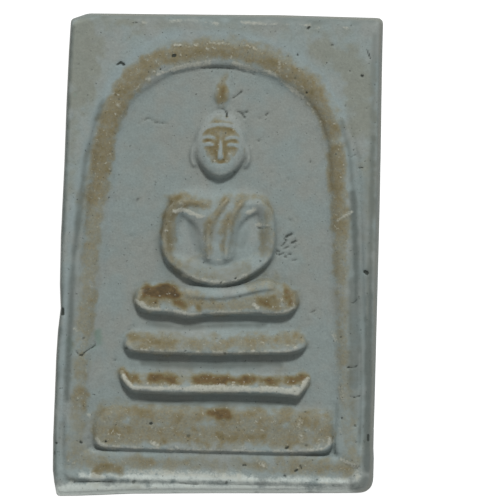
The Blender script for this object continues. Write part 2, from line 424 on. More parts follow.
    shade: tuple[Stroke, ...] = strokes(
        # Sloping right edge
        (0.26, 0.45, (11.3, 16.8), (11.32, 13.0), (11.34, 9.0)),
        (0.26, 0.62, (11.36, 9.2), (11.4, 4.0), (11.4, -1.0)),
        (0.30, 0.70, (11.4, -0.6), (11.42, -3.0)),
        (0.35, 0.78, (11.42, -2.6), (11.46, -5.0), (11.52, -8.0)),
        (0.12, 0.90, (11.82, 16.8), (11.86, 9.0), (11.9, 1.0), (11.92, -8.0)),
        (0.38, 0.78, (11.54, -7.6), (11.62, -12.0), (11.64, -15.6)),
        (0.16, 0.80, (11.92, -7.6), (12.0, -12.0), (12.0, -16.2)),
        (0.30, 0.60, (11.5, -16.4), (10.6, -17.1)),
        # Grooves outside the legs of the arch
        (0.24, 0.55, (9.0, 10.2), (9.65, 8.0), (10.0, 5.0)),
        (0.28, 0.80, (10.0, 5.0), (10.22, 2.0), (10.38, -1.0), (10.42, -3.2)),
        (0.14, 0.60, (10.6, -3.6), (10.9, -7.0), (11.0, -10.0), (11.0, -13.6)),
        (0.26, 0.60, (-8.9, 11.4), (-9.6, 9.2), (-10.1, 6.6), (-10.45, 3.0)),
        (0.26, 0.70, (-10.45, 3.0), (-10.75, 0.0), (-10.85, -3.0), (-10.95, -7.0), (-11.0, -11.0)),
        (0.40, 0.36, (10.1, 0.6), (10.2, -1.6)),
        (0.48, 0.58, (10.2, -1.6), (10.35, -5.0), (10.4, -7.5), (10.45, -9.4)),
        (0.40, 0.36, (10.45, -9.4), (10.5, -11.6)),
        (0.32, 0.36, (10.95, 6.0), (11.0, 1.0), (11.0, -4.0), (11.05, -9.0)),
        # Arms, lower forearms and chest
        (0.44, 0.32, (-3.3, 3.7), (-3.85, 2.2), (-3.6, 0.2)),
        (0.44, 0.32, (3.4, 3.7), (3.9, 2.2), (3.6, 0.2)),
        (0.50, 0.30, (-2.2, -0.9), (0.0, -1.3), (2.2, -0.9)),
        (0.60, 0.28, (-1.5, 2.6), (0.0, 1.4), (1.6, 1.4)),
        # Ends of the shadows under lap and tiers
        (0.22, 0.60, (-5.0, -5.2), (-2.6, -5.45), (0.0, -5.2), (3.6, -5.05)),
        (0.26, 0.70, (-5.4, -8.15), (-2.0, -8.2), (2.0, -8.15), (4.8, -7.95)),
        (0.22, 0.55, (-5.4, -11.0), (-2.0, -11.05), (2.0, -11.0), (4.8, -10.95)),
        # Hollows of the chest
        (0.34, 0.45, (-2.1, 2.4), (-1.8, 1.4), (-1.5, 0.6)),
        (0.30, 0.35, (2.1, 1.8), (1.8, 0.8)),
        # Left edge
        (0.16, 0.85, (-11.42, 16.8), (-11.5, 13.0), (-11.54, 7.0), (-11.66, 1.0), (-11.64, -4.0)),
        (0.16, 0.85, (-11.64, -4.0), (-11.8, -8.0), (-11.88, -13.0), (-11.75, -16.6)),
        # Top edge
        (0.30, 0.60, (-10.9, 17.74), (-8.0, 17.82), (-3.0, 17.86), (3.0, 17.94), (11.2, 17.92)),
        # Hollows beside the body and under the chin
        (0.30, 0.35, (-4.6, 1.2), (-4.5, -0.2), (-3.6, -1.5)),
        (0.26, 0.30, (4.3, 0.0), (3.6, -1.2)),
        (0.22, 0.35, (-0.3, 11.1), (0.2, 11.1)),
    )
    crack: tuple[Stroke, ...] = strokes(
        # Field, and the crown of the head
        (0.05, 0.90, (-5.75, 9.98), (-5.5, 10.2), (-5.2, 10.05), (-4.9, 9.88), (-4.1, 9.78)),
        (0.09, 0.85, (-5.0, 9.86), (-4.8, 9.88)),
        (0.07, 0.55, (-0.8, 10.7), (-0.45, 10.93), (-0.1, 11.04), (0.25, 10.98), (0.5, 10.82)),
        (0.06, 0.95, (0.2, 10.95), (0.38, 10.72), (0.42, 10.45)),
        (0.07, 1.00, (1.2, 10.84), (1.55, 10.7), (1.95, 10.84)),
        (0.09, 1.00, (1.52, 10.7), (1.74, 10.44)),
        (0.06, 0.95, (3.3, 10.6), (3.54, 10.82)),
        (0.06, 0.70, (2.82, 10.36), (3.0, 10.38)),
        (0.07, 1.00, (0.86, 11.86), (1.16, 12.08), (1.48, 12.36)),
        (0.04, 0.60, (-6.2, 9.8), (-6.1, 9.75)),
        (0.08, 0.80, (2.8, 8.7), (2.92, 8.7)),
        (0.07, 0.85, (6.75, 7.28), (6.73, 7.15)),
        (0.07, 0.80, (5.12, 5.92), (5.22, 5.88)),
        (0.07, 0.75, (-5.85, 0.56), (-5.75, 0.52)),
        (0.06, 0.75, (-6.52, 1.35), (-6.46, 1.33)),
        (0.05, 0.50, (5.4, 2.7), (5.5, 2.75)),
        # Upper corners
        (0.06, 1.00, (-7.9, 14.12), (-7.62, 14.3), (-7.4, 14.15)),
        (0.07, 0.66, (-10.82, 14.1), (-10.78, 14.1)),
        (0.08, 0.80, (-9.76, 13.7), (-9.74, 13.7)),
        (0.07, 0.60, (-7.2, 17.47), (-7.16, 17.44)),
        (0.07, 0.66, (-6.56, 17.3), (-6.54, 17.3)),
        (0.04, 0.50, (-11.0, 11.8), (-10.8, 11.92), (-10.6, 12.1)),
        (0.04, 0.36, (-9.35, 15.7), (-8.9, 15.3), (-8.55, 14.9)),
        (0.10, 0.95, (-3.72, 14.9), (-3.6, 14.92)),
        (0.07, 0.85, (-4.66, 13.85), (-4.63, 13.85)),
        (0.06, 0.70, (-7.92, 8.95), (-7.86, 8.95)),
        (0.06, 0.60, (-8.2, 6.1), (-8.16, 6.1)),
        (0.06, 0.60, (-0.95, 14.8), (-0.93, 14.8)),
        (0.07, 0.90, (6.35, 12.42), (6.37, 12.36)),
        (0.05, 1.00, (10.75, 15.7), (10.9, 15.4), (11.0, 15.12)),
        (0.08, 0.80, (8.13, 16.0), (8.2, 16.0)),
        (0.08, 0.75, (5.6, 15.22), (5.62, 15.2)),
        (0.08, 0.90, (10.42, 13.78), (10.5, 13.75)),
        (0.07, 0.66, (9.5, 14.12), (9.53, 14.1)),
        (0.08, 0.75, (6.3, 17.2), (6.42, 17.3)),
        (0.06, 0.60, (10.88, 11.32), (10.9, 11.32)),
        (0.05, 0.80, (10.4, 6.86), (10.7, 6.88)),
        (0.05, 0.66, (9.55, 7.75), (9.8, 7.68), (10.1, 7.85)),
        (0.05, 0.40, (3.7, 16.6), (3.9, 16.7), (4.0, 16.6)),
        # Rough patch to the right of the body
        (0.09, 1.00, (5.06, 1.56), (5.26, 1.66), (5.5, 1.78)),
        (0.07, 1.00, (4.94, 1.42), (5.1, 1.3)),
        (0.08, 0.95, (4.75, 0.86), (4.9, 0.98), (4.98, 1.12)),
        (0.08, 1.00, (5.5, 1.1), (5.64, 1.16), (5.82, 1.3)),
        (0.08, 1.00, (4.45, 0.5), (4.6, 0.44)),
        (0.08, 1.00, (4.58, 0.22), (4.72, 0.26), (4.9, 0.34)),
        (0.07, 0.95, (5.06, 0.74), (5.2, 0.78), (5.3, 0.86)),
        (0.07, 0.95, (4.98, 0.08), (5.16, 0.06)),
        (0.07, 1.00, (5.28, 0.28), (5.5, 0.24)),
        (0.06, 0.90, (5.7, 0.74), (5.78, 0.8)),
        (0.06, 0.90, (4.8, 0.62), (4.9, 0.66)),
        (0.07, 0.90, (4.35, 0.3), (4.42, 0.24)),
        (0.06, 0.80, (5.6, -0.2), (5.9, -0.12)),
        (0.07, 0.90, (5.32, 2.82), (5.38, 2.8)),
        (0.05, 0.85, (2.88, 2.3), (2.95, 2.15), (3.3, 2.12)),
        (0.04, 0.60, (3.5, 2.18), (3.85, 2.24)),
        # Middle right and right leg
        (0.06, 0.95, (7.05, -4.05), (7.2, -4.0), (7.4, -3.88)),
        (0.05, 0.85, (7.2, -4.05), (7.42, -4.28)),
        (0.05, 0.60, (6.85, -4.65), (7.0, -4.6)),
        (0.06, 0.70, (6.95, -6.8), (7.08, -6.76)),
        (0.12, 1.00, (11.05, -0.9), (11.2, -1.0)),
        (0.05, 0.85, (9.95, -8.08), (10.3, -8.06), (10.6, -8.0)),
        (0.05, 0.80, (10.15, -10.28), (10.5, -10.3), (10.9, -10.22)),
        (0.07, 0.80, (9.35, -5.82), (9.42, -5.8)),
        (0.07, 0.75, (9.55, -11.85), (9.62, -11.9)),
        (0.07, 0.66, (10.55, -12.4), (10.65, -12.45)),
        (0.08, 0.60, (10.68, -13.6), (10.75, -13.65)),
        (0.06, 0.95, (11.62, -13.1), (11.63, -13.5)),
        (0.05, 0.60, (10.1, -3.25), (10.35, -3.2), (10.5, -3.0)),
        # Left leg and rim
        (0.16, 0.90, (-11.55, -4.3), (-11.5, -4.6)),
        (0.05, 0.80, (-8.95, -6.9), (-9.3, -7.15), (-9.6, -7.32), (-9.95, -7.72)),
        (0.06, 0.85, (-9.95, -7.72), (-10.15, -7.68), (-10.4, -7.42)),
        (0.04, 0.60, (-10.75, -7.6), (-10.9, -7.9), (-11.1, -7.95)),
        (0.06, 0.60, (-9.0, -6.65), (-8.92, -7.05)),
        (0.08, 0.90, (-7.52, -8.0), (-7.46, -8.0)),
        (0.05, 0.66, (-7.85, -5.06), (-7.72, -5.04)),
        (0.07, 0.66, (-7.66, -3.18), (-7.6, -3.25)),
        (0.09, 0.95, (-4.7, -12.64), (-4.64, -12.68)),
        (0.08, 0.90, (-8.02, -14.1), (-7.98, -14.12)),
        (0.10, 0.66, (-9.88, -14.18), (-9.8, -14.22)),
        (0.09, 0.90, (-11.72, -14.3), (-11.68, -14.34)),
        (0.07, 0.90, (-11.88, -14.9), (-11.85, -15.15)),
        (0.07, 0.55, (-10.72, -15.88), (-10.8, -15.92)),
        # Bottom
        (0.09, 0.85, (5.5, -14.25), (5.65, -14.18)),
        (0.10, 0.66, (2.3, -15.6), (2.5, -15.58)),
        (0.09, 0.80, (6.2, -15.92), (6.35, -15.86)),
        (0.07, 0.66, (6.58, -15.5), (6.66, -15.7)),
        (0.08, 0.66, (5.4, -16.3), (5.5, -16.36)),
        (0.07, 0.60, (7.82, -16.6), (7.92, -16.58)),
        (0.06, 0.60, (6.9, -14.0), (7.1, -14.02)),
        (0.06, 0.60, (-2.9, -14.4), (-2.8, -14.6)),
        (0.07, 0.60, (8.3, -17.15), (8.5, -17.1)),
        # Lap and tiers
        (0.06, 0.70, (0.25, -2.02), (0.33, -1.95)),
        (0.07, 0.75, (1.35, -1.66), (1.4, -1.64)),
        (0.06, 0.60, (-5.1, -2.58), (-4.95, -2.55)),
        (0.05, 0.60, (-3.0, -7.1), (-2.85, -7.05)),
        (0.05, 0.66, (-2.35, -7.25), (-2.2, -7.15)),
        (0.06, 0.60, (6.0, -10.0), (6.08, -10.0)),
        (0.05, 0.55, (1.2, -10.05), (1.3, -10.1)),
        # Dark line where the rib overhangs at its top, and the groove of the lower lip
        (0.10, 0.60, (-1.6, 13.98), (-0.6, 14.08), (0.3, 14.08), (1.2, 13.95), (2.4, 13.65)),
        (0.05, 0.50, (-4.0, 13.42), (-3.0, 13.62), (-1.8, 13.85)),
        (0.08, 0.50, (-10.3, -17.2), (-9.0, -17.1), (-7.3, -17.08)),
        (0.07, 0.50, (-3.0, -17.0), (-2.2, -17.06), (-1.0, -17.14)),
        (0.05, 0.36, (2.0, -17.02), (5.0, -17.0), (9.6, -16.96)),
    )


@dataclass(frozen=True)
class Wear:
    """Where hands have rubbed the relief soft, in millimetres of the pressed picture."""

    rubbed: tuple[Stroke, ...] = strokes(
        # Inner sides of the legs of the arch
        (0.50, 0.90, (-6.0, 11.9), (-6.8, 10.6), (-7.5, 9.0), (-7.85, 7.2), (-8.1, 5.0)),
        (0.60, 1.00, (-8.1, 5.0), (-8.5, 1.0), (-8.85, -3.0), (-9.15, -7.0), (-9.3, -11.0)),
        (0.50, 0.90, (-9.3, -11.0), (-9.35, -14.2)),
        (0.50, 0.90, (6.3, 11.5), (7.1, 10.1), (7.6, 8.6), (7.85, 7.2), (8.05, 5.0)),
        (0.60, 1.00, (8.05, 5.0), (8.3, 1.0), (8.65, -3.0), (8.95, -7.0), (9.1, -10.4)),
        # Their outer sides and grooves
        (0.55, 0.90, (-9.4, 9.4), (-10.0, 7.0), (-10.4, 3.0), (-10.7, 0.0), (-10.85, -4.0)),
        (0.55, 0.90, (-10.85, -4.0), (-11.0, -8.0), (-11.05, -12.0)),
        (0.55, 0.90, (9.2, 9.4), (9.7, 7.0), (10.0, 4.0), (10.2, 1.0), (10.35, -3.0)),
        (0.40, 0.80, (10.35, -3.0), (10.8, -7.0), (10.95, -12.0)),
        # Outer side of the arch over its top
        (0.50, 0.80, (-9.0, 10.6), (-7.8, 12.9), (-6.2, 14.7), (-4.0, 16.0), (-1.5, 16.4)),
        (0.50, 0.80, (-1.5, 16.4), (1.5, 16.35), (4.0, 15.75), (6.2, 14.5), (7.8, 12.7), (8.9, 10.4)),
        # Inner side of the arch over its top
        (0.34, 0.75, (-6.0, 12.2), (-4.6, 13.3), (-3.0, 13.95), (-1.4, 14.2)),
        (0.34, 0.75, (1.2, 14.1), (3.0, 13.7), (4.6, 12.95), (6.3, 11.7)),
        # Shoulders, crown, topknot, and ends of the bottom tier
        (0.60, 0.70, (-3.4, 4.8), (-1.5, 4.9), (0.5, 5.0), (2.4, 4.8)),
        (0.45, 0.60, (-0.6, 10.9), (0.6, 10.9)),
        (0.55, 0.80, (0.05, 13.0), (0.05, 11.6)),
        (0.50, 0.60, (-8.9, -11.4), (-9.0, -13.4)),
        (0.50, 0.60, (8.8, -11.2), (8.9, -13.0)),
    )


@dataclass
class Canvas:
    """A raster over the face, in millimetres, on which heights and stains are worked out."""

    half_x: float = 12.6
    half_y: float = 18.8
    step: float = 0.05
    seed: int = 7
    columns: int = field(init=False)
    rows: int = field(init=False)

    def __post_init__(self) -> None:
        """Counts the cells."""
        self.columns = int(round(2 * self.half_x / self.step)) + 1
        self.rows = int(round(2 * self.half_y / self.step)) + 1

    def axes(self) -> tuple[np.ndarray, np.ndarray]:
        """Returns the places of the columns and of the rows."""
        return (
            np.linspace(-self.half_x, self.half_x, self.columns),
            np.linspace(-self.half_y, self.half_y, self.rows),
        )

    def blur(self, sheet: np.ndarray, sigma: float) -> np.ndarray:
        """Softens a raster.

        Args:
            sheet: values over the canvas.
            sigma: radius of the softening, in millimetres.

        Returns:
            The softened raster.
        """
        pad = int(math.ceil(3 * sigma / self.step))
        wide = np.pad(sheet, pad, mode="edge")
        fy = np.fft.fftfreq(wide.shape[0], self.step)[:, None]
        fx = np.fft.rfftfreq(wide.shape[1], self.step)[None, :]
        gauss = np.exp(-2 * (math.pi * sigma) ** 2 * (fx * fx + fy * fy))
        out = np.fft.irfft2(np.fft.rfft2(wide) * gauss, s=wide.shape)
        return out[pad : pad + sheet.shape[0], pad : pad + sheet.shape[1]]

    def cloud(self, size: float, salt: int) -> np.ndarray:
        """Smooth random clouds.

        Args:
            size: radius of one cloud, in millimetres.
            salt: number that tells this cloud from the others.

        Returns:
            A raster with a mean of 0 and a spread of 1.
        """
        draw = np.random.default_rng(self.seed * 1000 + salt)
        sheet = self.blur(draw.standard_normal((self.rows, self.columns)), size)
        return (sheet - sheet.mean()) / sheet.std()

    def paint(self, marks: tuple[Stroke, ...], shift: Point, ramp: float, wander: np.ndarray) -> np.ndarray:
        """Paints strokes as soft masks.

        Args:
            marks: the strokes, in the millimetres of the pressed picture.
            shift: where the pressed picture's middle lies on the tablet.
            ramp: width over which a mask falls from full to nothing.
            wander: raster in millimetres that moves the edges in and out.

        Returns:
            A raster from 0 to 1.
        """
        xs, ys = self.axes()
        sheet = np.zeros((self.rows, self.columns))
        for mark in marks:
            points = np.array(mark.path) + shift
            reach = mark.half + 1.5 * ramp
            low, high = points.min(0) - reach, points.max(0) + reach
            c0, c1 = np.searchsorted(xs, (low[0], high[0]))
            r0, r1 = np.searchsorted(ys, (low[1], high[1]))
            px, py = np.meshgrid(xs[c0:c1], ys[r0:r1])
            far = np.full(px.shape, np.inf)
            for a, b in zip(points[:-1], points[1:]):
                run = b - a
                share = np.clip(
                    ((px - a[0]) * run[0] + (py - a[1]) * run[1]) / max(run @ run, 1e-9), 0, 1
                )
                far = np.minimum(
                    far, np.hypot(px - a[0] - share * run[0], py - a[1] - share * run[1])
                )
            depth = mark.half - far + wander[r0:r1, c0:c1]
            mask = mark.strength * np.clip(0.5 + depth / ramp, 0, 1)
            sheet[r0:r1, c0:c1] = np.maximum(sheet[r0:r1, c0:c1], mask)
        return sheet

    def sample(self, sheet: np.ndarray, x: np.ndarray, y: np.ndarray) -> np.ndarray:
        """Reads a raster at any places, in millimetres, blending the four cells round each."""
        fx = np.clip((x + self.half_x) / self.step, 0, self.columns - 1.001)
        fy = np.clip((y + self.half_y) / self.step, 0, self.rows - 1.001)
        cx, cy = fx.astype(int), fy.astype(int)
        tx, ty = fx - cx, fy - cy
        low = sheet[cy, cx] * (1 - tx) + sheet[cy, cx + 1] * tx
        high = sheet[cy + 1, cx] * (1 - tx) + sheet[cy + 1, cx + 1] * tx
        return low * (1 - ty) + high * ty


@dataclass
class PressedRelief:
    """Heights and stains of the face, read from the solid and aged."""

    canvas: Canvas
    patina: Patina
    wear: Wear
    picture_shift: Point = (-0.06, 0.06)
    soften: float = 0.075
    rubbed_radius: float = 0.34
    crest_radius: float = 0.30
    hollow_radius: float = 0.42
    edge_zone: float = 0.35
    worn_crest: float = 0.22
    crack_depth: float = 0.11
    film_depths: tuple[tuple[Stain, float], ...] = (
        (Stain.WASH, 0.36),
        (Stain.OCHRE, 0.46),
        (Stain.AMBER, 0.80),
        (Stain.UMBER, 1.00),
    )
    face_film: float = 0.66
    head_middle: Point = (-0.05, 8.35)
    head_half: Point = (1.9, 2.35)
    tree: BVHTree = field(init=False)
    rim: float = field(init=False)
    beyond: np.ndarray = field(init=False)
    height: np.ndarray = field(init=False)
    masks: dict[str, np.ndarray] = field(init=False)

    def __post_init__(self) -> None:
        """Reads the solid's faces, then works out heights and masks."""
        mesh = frame["nodes"][NODE].data
        points = [v.co / MM for v in mesh.vertices]
        self.tree = BVHTree.FromPolygons(points, [tuple(p.vertices) for p in mesh.polygons])
        self.rim = solid_rim(self.tree)
        self.height = self.read_heights()
        self.masks = self.paint_masks()
        self.age()

    def read_heights(self) -> np.ndarray:
        """Casts a ray down on every cell; a cell beyond the tablet gets the level of the rim."""
        xs, ys = self.canvas.axes()
        down = Vector((0, 0, -1))
        sheet = np.full((self.canvas.rows, self.canvas.columns), self.rim)
        self.beyond = np.ones(sheet.shape, dtype=bool)
        for r, y in enumerate(ys):
            for c, x in enumerate(xs):
                hit = self.tree.ray_cast(Vector((x, y, RAY_TOP)), down)[0]
                if hit is not None:
                    sheet[r, c] = hit.z
                    self.beyond[r, c] = False
        return sheet

    def paint_masks(self) -> dict[str, np.ndarray]:
        """Paints each stain with ragged edges."""
        ragged = 0.08 * self.canvas.cloud(0.30, 1) + 0.06 * self.canvas.cloud(0.12, 2)
        fine = 0.016 * self.canvas.cloud(0.07, 3)
        ramps = {
            Stain.OCHRE: (0.62, ragged),
            Stain.AMBER: (0.46, ragged),
            Stain.UMBER: (0.40, ragged),
            Stain.CREAM: (0.22, 0.5 * ragged),
            Stain.WASH: (0.90, 2.0 * ragged),
            Stain.CHALK: (0.60, 1.5 * ragged),
            Stain.SHADE: (0.40, 0.4 * ragged),
            Stain.COOL: (0.70, ragged),
            Stain.WARM: (1.40, 3.0 * ragged),
            Stain.GREEN: (0.70, ragged),
            Stain.CRACK: (0.16, fine),
        }
        masks = {
            stain.value: self.canvas.paint(
                getattr(self.patina, stain.value), self.picture_shift, ramp, wander
            )
            for stain, (ramp, wander) in ramps.items()
        }
        depths = [masks.pop(stain.value) * depth for stain, depth in self.film_depths]
        masks["film"] = self.canvas.blur(np.maximum.reduce(depths), 0.06)
        return masks

    def age(self) -> None:
        """Softens and wears the relief, makes it wavy and cuts the cracks."""
        canvas = self.canvas
        rubbed = canvas.paint(self.wear.rubbed, self.picture_shift, 0.7, np.zeros_like(self.height))
        soft = canvas.blur(self.height, self.rubbed_radius)
        sheet = canvas.blur(self.height, self.soften) * (1 - rubbed) + soft * rubbed
        inner = 1 - np.clip(canvas.blur(self.beyond.astype(float), self.edge_zone) / 0.05, 0, 1)
        crest = (sheet - canvas.blur(sheet, self.crest_radius)) * inner
        hollow = canvas.blur(sheet, self.hollow_radius) - sheet
        sheet = sheet - self.worn_crest * np.clip(crest - 0.06, 0, None)
        sheet += 0.020 * canvas.cloud(1.5, 11) + 0.007 * canvas.cloud(0.45, 12)
        sheet += 0.0045 * canvas.cloud(0.16, 13)
        pits = np.clip(canvas.cloud(0.13, 14) - 2.5, 0, 1.2)
        sheet -= 0.05 * pits
        sheet += 0.030 * canvas.blur(self.masks["cream"], 0.06)
        sheet -= self.crack_depth * self.masks["crack"]
        self.height = np.minimum(sheet, self.height.max() - 0.005)
        self.masks["crest"] = np.clip(crest / 0.16, 0, 1)
        self.masks["hollow"] = np.clip(hollow / 0.22, 0, 1)
        self.masks["pit"] = np.clip(pits, 0, 1)
        self.masks["film"] = np.maximum(self.masks["film"], self.face_film * self.face_hollows(sheet))

    def face_hollows(self, sheet: np.ndarray) -> np.ndarray:
        """The lower parts of the plain face, in which the patina has settled.

        Args:
            sheet: aged heights.

        Returns:
            A raster from 0 to 1, which is 0 outside the head.
        """
        oval = self.head_mask()
        depth = self.canvas.blur(sheet, 0.22) - self.canvas.blur(sheet, 0.04)
        low, high = np.percentile(depth[oval > 0.9], (40, 92))
        return oval * np.clip((depth - low) / (high - low), 0, 1)

    def head_mask(self) -> np.ndarray:
        """A soft oval over the head."""
        xs, ys = np.meshgrid(*self.canvas.axes())
        far = np.hypot(
            (xs - self.head_middle[0]) / self.head_half[0],
            (ys - self.head_middle[1]) / self.head_half[1],
        )
        return np.clip((1.0 - far) / 0.12, 0, 1)


def solid_rim(tree: BVHTree) -> float:
    """Level of the flat rim, read in the upper left spandrel, in millimetres."""
    return tree.ray_cast(Vector((*RIM_SPOT, RAY_TOP)), Vector((0, 0, -1)))[0].z


@dataclass
class TabletBody:
    """The closed mesh of the tablet: face grid, rings down the side, and back grid."""

    relief: PressedRelief
    columns: int = 212
    rows: int = 324
    back_columns: int = 72
    back_rows: int = 110
    ring_shares: tuple[float, ...] = (
        0.985, 0.962, 0.930, 0.885, 0.825, 0.745, 0.650, 0.540, 0.420, 0.300, 0.185, 0.095, 0.035, 0.0,
    )
    side_roughness: float = 0.03
    back_inset: float = 0.34
    back_hollow: float = 0.05
    corner_rays: int = 1440
    edge_level: float = 0.9985
    edge_drop: float = 0.02
    outward_step: float = 3.0
    worn_above: float = 0.86

    def wall(self, x: float, y: float, dx: float, dy: float, level: float) -> Point:
        """Where a level ray from outside meets the side of the solid.

        Args:
            x, y: start of the ray, in millimetres.
            dx, dy: its direction.
            level: its height over the floor.

        Returns:
            The point that it meets, or its start if it misses.
        """
        hit = self.relief.tree.ray_cast(Vector((x, y, level)), Vector((dx, dy, 0)).normalized())[0]
        return (hit.x, hit.y) if hit is not None else (x, y)

    def corners(self, level: float) -> dict[str, Point]:
        """The four corners of the outline at a level, each where it reaches furthest that way."""
        ring = []
        for k in range(self.corner_rays):
            turn = math.tau * k / self.corner_rays
            across, up = math.cos(turn), math.sin(turn)
            ring.append(self.wall(RAY_SIDE * across, RAY_SIDE * up, -across, -up, level))
        return {
            "left_foot": min(ring, key=lambda p: p[0] + p[1]),
            "right_foot": max(ring, key=lambda p: p[0] - p[1]),
            "right_top": max(ring, key=lambda p: p[0] + p[1]),
            "left_top": min(ring, key=lambda p: p[0] - p[1]),
        }

    def sheet_points(self, u: np.ndarray, v: np.ndarray, level: float) -> tuple[np.ndarray, np.ndarray]:
        """Lays a unit sheet over the outline at a level, so that its four sides follow the edge.

        Args:
            u: shares across, from 0 at the left to 1 at the right.
            v: shares up, from 0 at the foot to 1 at the top.
            level: level at which the outline is read.

        Returns:
            x and y as arrays with a row for each v and a column for each u.
        """
        c = self.corners(level)
        lf, rf, rt, lt = (np.array(c[k]) for k in ("left_foot", "right_foot", "right_top", "left_top"))

        def along(a: np.ndarray, b: np.ndarray, shares: np.ndarray, upright: bool, sign: int) -> np.ndarray:
            """Points of one side, read straight across to it."""
            out = []
            for t in shares:
                p = a + (b - a) * t
                if upright:
                    out.append(self.wall(sign * RAY_SIDE, p[1], -sign, 0, level))
                else:
                    out.append(self.wall(p[0], sign * RAY_SIDE, 0, -sign, level))
            out[0], out[-1] = tuple(a), tuple(b)
            return np.array(out)

        foot = along(lf, rf, u, False, -1)
        top = along(lt, rt, u, False, 1)
        left = along(lf, lt, v, True, -1)
        right = along(rf, rt, v, True, 1)
        uu, vv = u[None, :, None], v[:, None, None]
        flat = (
            (1 - vv) * foot[None] + vv * top[None] + (1 - uu) * left[:, None] + uu * right[:, None]
            - (1 - uu) * (1 - vv) * lf - uu * (1 - vv) * rf - uu * vv * rt - (1 - uu) * vv * lt
        )
        return flat[..., 0], flat[..., 1]

    def build(self) -> bpy.types.Object:
        """Makes the mesh and gives it its attributes.

        Returns:
            The tablet, at the origin, with its place in its mesh.
        """
        bm = bmesh.new()
        place = bm.verts.layers.int.new("place")
        loop = self.lay_face(bm, place, self.relief.rim * self.edge_level)
        last_ring, ring_edges = self.draw_sides(bm, place, loop)
        self.close_back(bm, last_ring, ring_edges)
        for v in bm.verts:
            v.co *= MM
        bmesh.ops.recalc_face_normals(bm, faces=bm.faces)
        mesh = bpy.data.meshes.new("tablet_body")
        bm.to_mesh(mesh)
        bm.free()
        mesh.polygons.foreach_set("use_smooth", [True] * len(mesh.polygons))
        self.add_attributes(mesh)
        piece = bpy.data.objects.new("tablet_body", mesh)
        bpy.context.scene.collection.objects.link(piece)
        return piece

    def lay_face(self, bm: bmesh.types.BMesh, place: object, level: float) -> np.ndarray:
        """Lays the face grid over the relief.

        Args:
            bm: mesh that takes the grid.
            place: vertex layer that numbers the edge of the grid, from 1.
            level: level at which the outline is read.

        Returns:
            The points of the edge in order, as x and y.
        """
        grid = bmesh.ops.create_grid(bm, x_segments=self.columns, y_segments=self.rows, size=1.0)["verts"]
        u, v = np.linspace(0, 1, self.columns + 1), np.linspace(0, 1, self.rows + 1)
        x, y = self.sheet_points(u, v, level)
        z = self.relief.canvas.sample(self.relief.height, x, y)
        for side in (z[0], z[-1], z[:, 0], z[:, -1]):
            np.minimum(side, self.relief.rim - self.edge_drop, out=side)
        order = self.loop_order()
        number = {key: i + 1 for i, key in enumerate(order)}
        for vert in grid:
            c = int(round((vert.co.x + 1) / 2 * self.columns))
            r = int(round((vert.co.y + 1) / 2 * self.rows))
            vert.co = (x[r, c], y[r, c], z[r, c])
            vert[place] = number.get((r, c), 0)
        return np.array([(x[k], y[k]) for k in order])

    def loop_order(self) -> list[tuple[int, int]]:
        """Row and column of each vertex of the grid's edge, once round against the clock."""
        n, m = self.columns, self.rows
        return (
            [(0, c) for c in range(n)]
            + [(r, n) for r in range(m)]
            + [(m, c) for c in range(n, 0, -1)]
            + [(r, 0) for r in range(m, 0, -1)]
        )

    def draw_sides(self, bm: bmesh.types.BMesh, place: object, loop: np.ndarray) -> tuple[list, list]:
        """Draws the edge down ring by ring along the solid's side.

        Args:
            bm: mesh with the face grid.
            place: vertex layer with the number of each edge vertex.
            loop: points of the edge in order.

        Returns:
            The vertices and the edges of the lowest ring.
        """
        reach = 5
        run = np.roll(loop, -reach, 0) - np.roll(loop, reach, 0)
        out = np.stack([run[:, 1], -run[:, 0]], 1)
        for _ in range(8):
            out = (np.roll(out, 1, 0) + out + np.roll(out, -1, 0)) / 3
        out /= np.linalg.norm(out, axis=1)[:, None]
        rough = self.side_cloud(len(loop), len(self.ring_shares))
        edges = [e for e in bm.edges if e.is_boundary]
        verts: list = []
        for k, share in enumerate(self.ring_shares):
            made = bmesh.ops.extrude_edge_only(bm, edges=edges)["geom"]
            verts = [g for g in made if isinstance(g, bmesh.types.BMVert)]
            edges = [g for g in made if isinstance(g, bmesh.types.BMEdge)]
            level = share * self.relief.rim
            for vert in verts:
                i = vert[place] - 1
                start = loop[i] + out[i] * self.outward_step
                x, y = self.wall(start[0], start[1], -out[i][0], -out[i][1], max(level, FOOT_LEVEL))
                inward = self.side_roughness * rough[k, i] * min(1.0, 6 * share + 0.1)
                vert.co = (x - out[i][0] * inward, y - out[i][1] * inward, level)
        worn_level = self.worn_above * self.relief.rim
        worn = [v for v in bm.verts if v.co.z > worn_level and v[place] > 0]
        for _ in range(2):
            bmesh.ops.smooth_vert(
                bm, verts=worn, factor=0.5, use_axis_x=True, use_axis_y=True, use_axis_z=True
            )
        return verts, edges

    def side_cloud(self, around: int, down: int) -> np.ndarray:
        """Random unevenness of the side, from 0 to about 1, the same each time."""
        draw = np.random.default_rng(41)
        total = np.zeros((down, around))
        for radius, weight in ((26.0, 0.5), (7.0, 0.35), (2.2, 0.15)):
            sheet = draw.standard_normal((down, around))
            wave = np.fft.fftfreq(around)[None, :]
            gauss = np.exp(-2 * (math.pi * radius * wave) ** 2)
            sheet = np.fft.ifft(np.fft.fft(sheet, axis=1) * gauss, axis=1).real
            for _ in range(2):
                sheet = (np.vstack([sheet[:1], sheet[:-1]]) + sheet + np.vstack([sheet[1:], sheet[-1:]])) / 3
            total += weight * sheet / sheet.std()
        return np.clip(0.5 + 0.25 * total, 0, 1.2)

